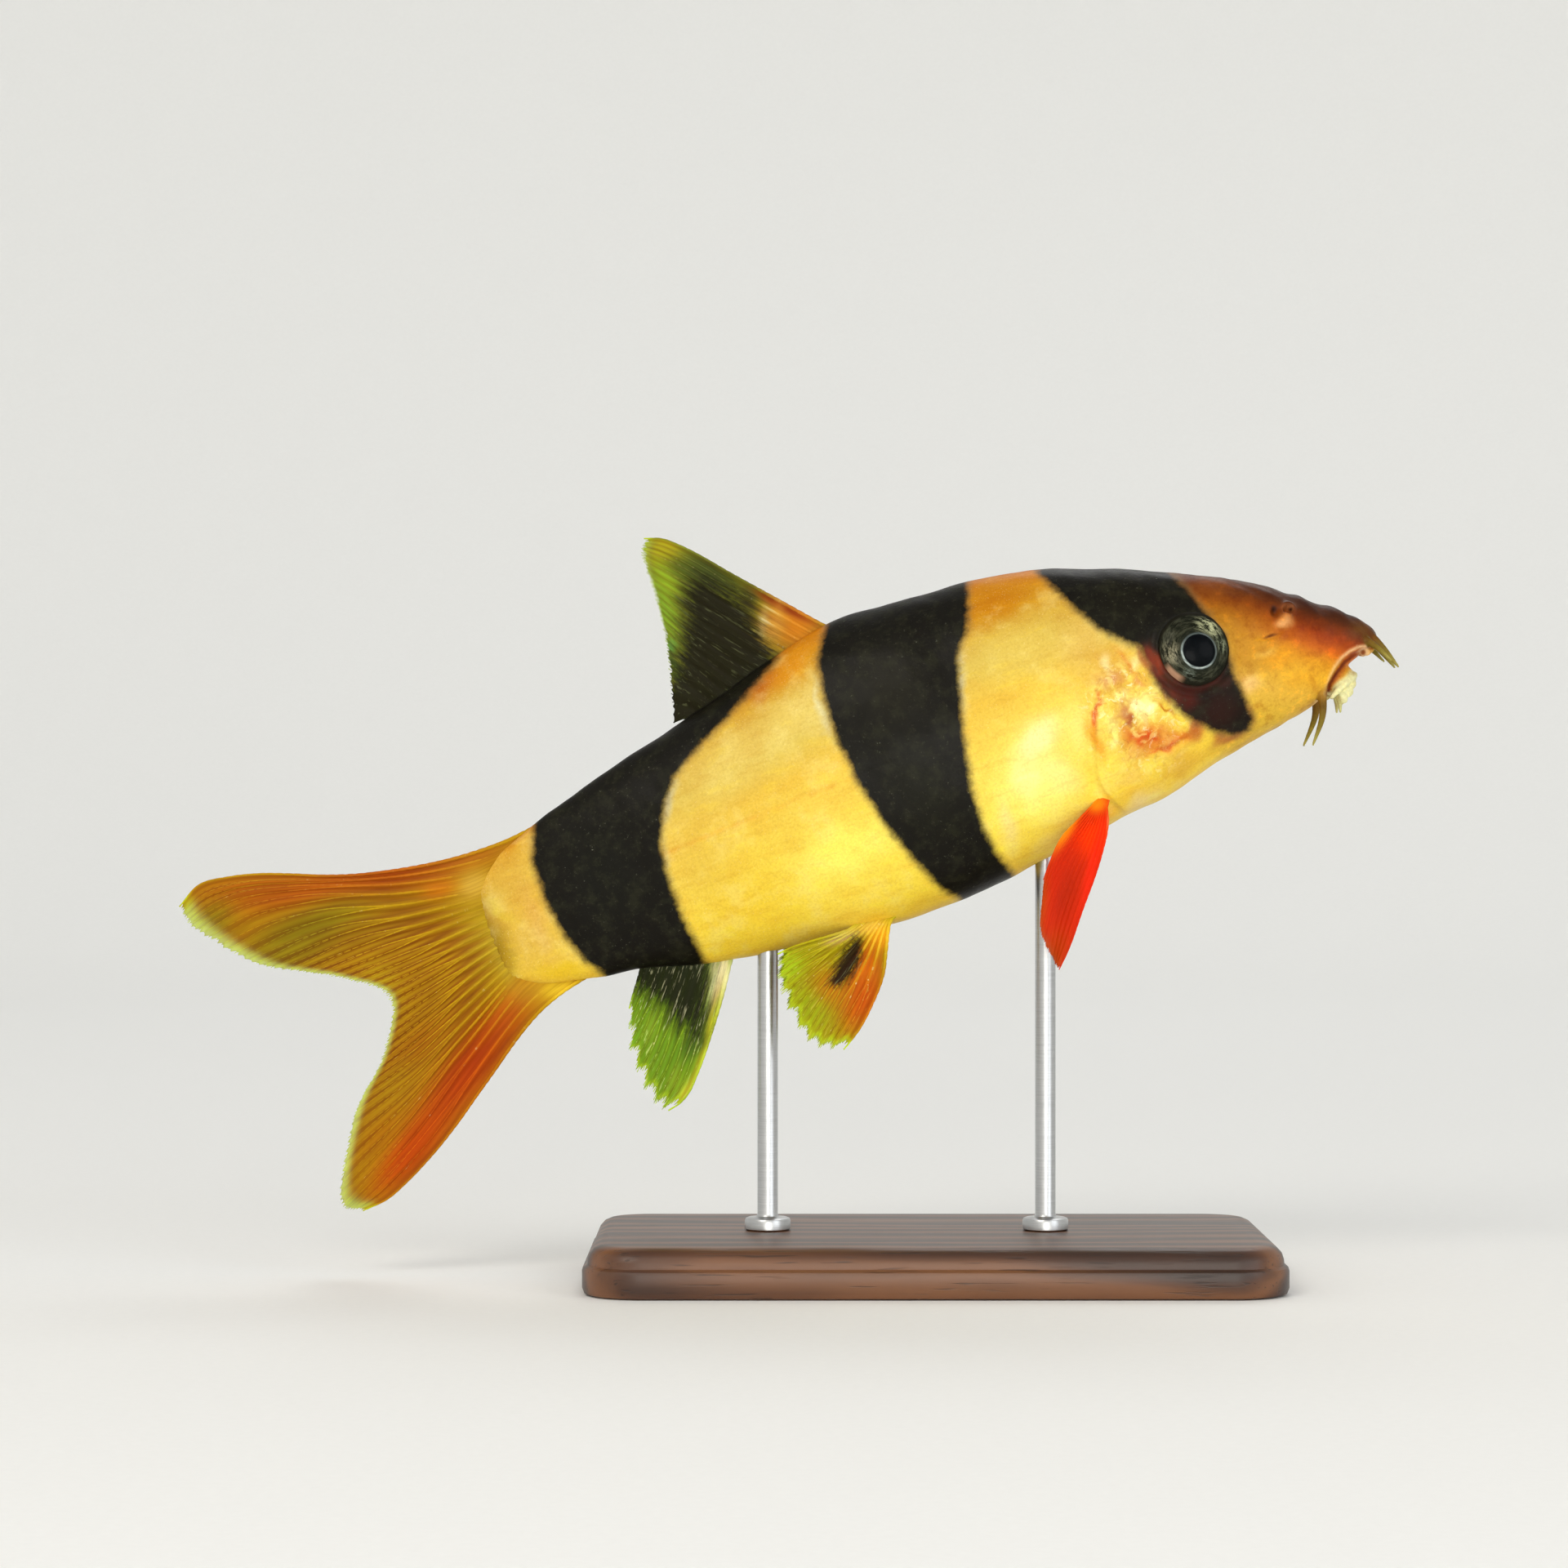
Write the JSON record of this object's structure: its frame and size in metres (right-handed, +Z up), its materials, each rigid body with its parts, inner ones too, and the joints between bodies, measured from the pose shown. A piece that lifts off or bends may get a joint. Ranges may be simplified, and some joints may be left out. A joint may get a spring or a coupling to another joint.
{
  "type": "clown loach, life-size swimming fish model on a display stand",
  "caption": "Life-size clown loach, banded black and gold, swimming nose up with fins spread, held over a flat base by slim rods.",
  "frame": {"origin": "centre of the stand base's underside", "axes": "+X towards the head, +Y to the fish's left, +Z up"},
  "size_m": [0.1501, 0.046, 0.0909],
  "materials": {
    "flesh_gold": "wet skin, satin, golden yellow with near-black bands",
    "fin_red": "satin, red-orange membrane",
    "fin_orange": "satin, orange membrane with a yellow-green margin",
    "fin_black": "satin, near-black membrane with a yellow-green margin",
    "fin_olive": "satin, black at the root and yellow-green outwards",
    "barbel_olive": "satin",
    "jaw_pale": "satin, pale lip skin",
    "eye_dark": "glossy wet cornea over a grey-olive iris",
    "walnut": "dark oiled wood",
    "rod_steel": "brushed"
  },
  "bodies": {
    "root": {"anal_fin": "fin_olive", "barbel_mandibular_left": "barbel_olive", "barbel_mandibular_right": "barbel_olive", "barbel_maxillary_left": "barbel_olive", "barbel_maxillary_right": "barbel_olive", "barbel_rostral_inner_left": "barbel_olive", "barbel_rostral_inner_right": "barbel_olive", "barbel_rostral_outer_left": "barbel_olive", "barbel_rostral_outer_right": "barbel_olive", "caudal_fin_lower": "fin_orange", "caudal_fin_upper": "fin_orange", "dorsal_fin": "fin_black", "eye_left": "eye_dark", "eye_right": "eye_dark", "head": "flesh_gold", "lower_jaw": "jaw_pale", "pectoral_fin_left": "fin_red", "pectoral_fin_right": "fin_red", "pelvic_fin_left": "fin_orange", "pelvic_fin_right": "fin_orange", "stand_base": "walnut", "stand_rod_front": "rod_steel", "stand_rod_rear": "rod_steel", "tail": "flesh_gold", "torso": "flesh_gold"}
  },
  "joints": []
}
